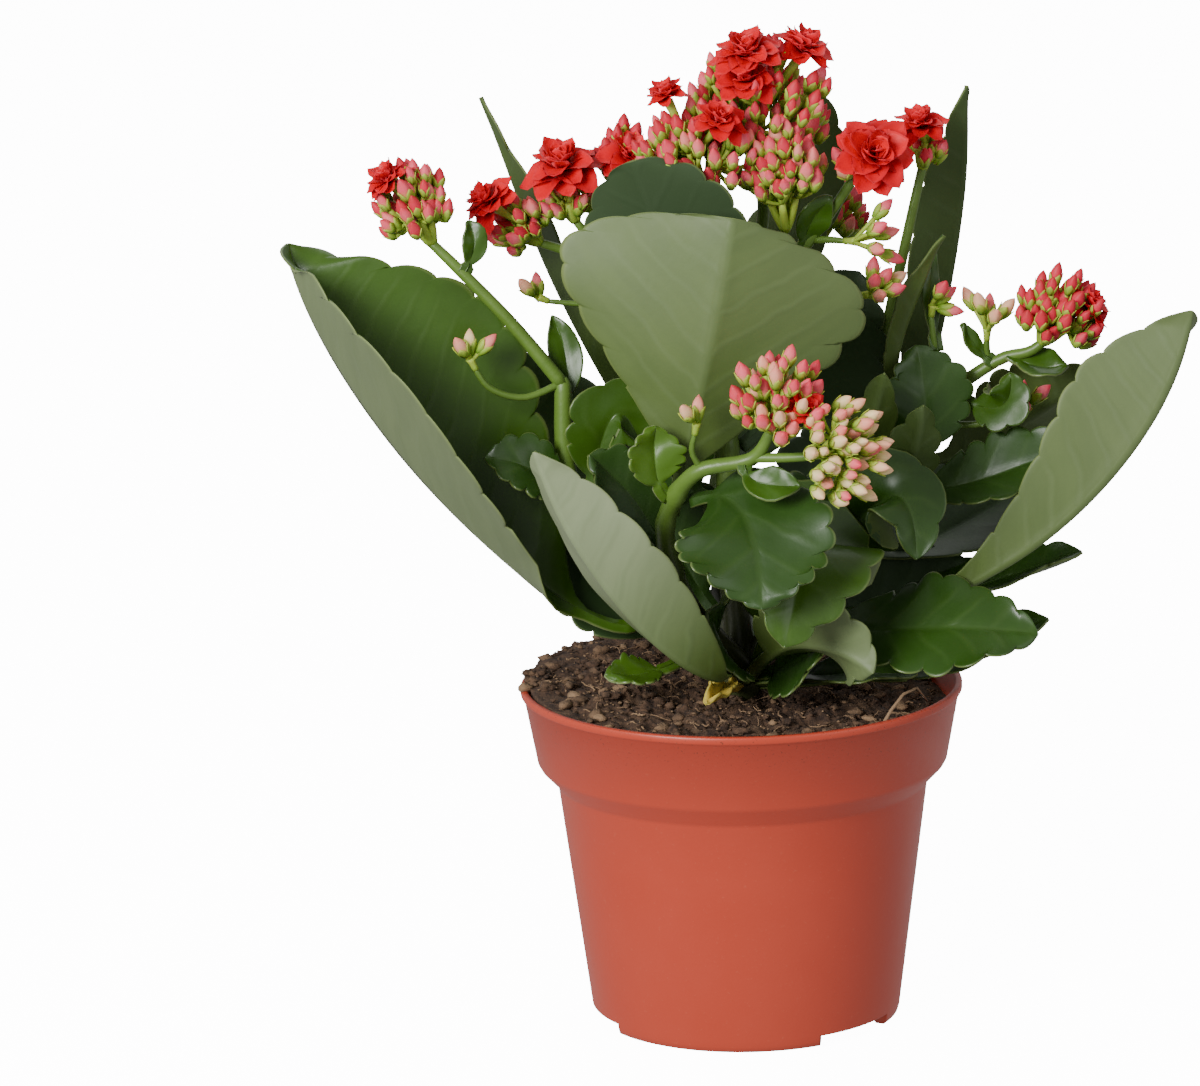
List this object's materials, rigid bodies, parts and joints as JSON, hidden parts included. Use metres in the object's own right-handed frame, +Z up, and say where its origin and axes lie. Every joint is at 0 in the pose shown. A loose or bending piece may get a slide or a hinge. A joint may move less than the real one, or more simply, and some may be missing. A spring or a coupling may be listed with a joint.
{
  "type": "potted flowering plant",
  "caption": "Double-flowered kalanchoe in a tapered round nursery pot, with broad scalloped leaves and clusters of red buds and rosette florets.",
  "frame": {"origin": "middle of the pot's foot, on the surface it stands on", "axes": "+Z up along the pot's axis; the plant's best side faces -Y, with +X to the right of that view"},
  "size_m": [0.2407, 0.1552, 0.2723],
  "materials": {
    "terracotta": "satin terracotta-coloured plastic",
    "soil": "crumbly dark peat soil",
    "stem_green": "smooth fleshy green stem",
    "leaf_green": "glossy dark green above, matte grey-green below",
    "flower": "soft petals, cream and coral to deep red"
  },
  "bodies": {
    "root": {"pot": "terracotta", "soil": "soil", "stems": "stem_green", "leaf_big_left": "leaf_green", "leaf_big_front": "leaf_green", "leaf_big_right": "leaf_green", "leaf_front_left": "leaf_green", "leaf_front_glossy": "leaf_green", "leaf_front_under": "leaf_green", "leaf_front_low": "leaf_green", "leaf_right_low": "leaf_green", "leaf_right_out": "leaf_green", "leaf_right_under": "leaf_green", "leaf_right_dark": "leaf_green", "leaf_right_round": "leaf_green", "leaf_right_pale": "leaf_green", "leaf_right_front": "leaf_green", "leaf_right_striped": "leaf_green", "leaf_right_behind": "leaf_green", "leaf_tall_right": "leaf_green", "leaf_narrow_right": "leaf_green", "leaf_tall_left": "leaf_green", "leaf_behind_front": "leaf_green", "leaf_left_striped": "leaf_green", "leaf_left_inner": "leaf_green", "leaf_left_dark": "leaf_green", "leaf_front_bright": "leaf_green", "leaf_soil_left": "leaf_green", "leaf_top_behind": "leaf_green", "leaf_centre_behind": "leaf_green", "leaf_right_inner": "leaf_green", "leaf_soil_right": "leaf_green", "leaf_back_left": "leaf_green", "leaf_back_out_left": "leaf_green", "leaf_back_middle": "leaf_green", "leaf_back_out_right": "leaf_green", "leaf_back_low": "leaf_green", "leaf_back_right": "leaf_green", "flowers_far_left": "flower", "flowers_small_left": "flower", "flowers_upper_left": "flower", "flowers_upper_mid": "flower", "flowers_upper_inner": "flower", "flowers_top_left": "flower", "flowers_top_right": "flower", "flowers_top_low": "flower", "flowers_upper_right": "flower", "flowers_lower_right": "flower", "flowers_under_right": "flower", "flowers_outer_right": "flower", "flowers_right_end": "flower", "flowers_right_small": "flower", "flowers_right_inner": "flower", "flowers_right_low": "flower", "flowers_front": "flower", "flowers_front_right": "flower", "flowers_front_small": "flower", "flowers_behind_left": "flower", "flowers_back_left": "flower", "flowers_back_right": "flower"}
  },
  "joints": []
}
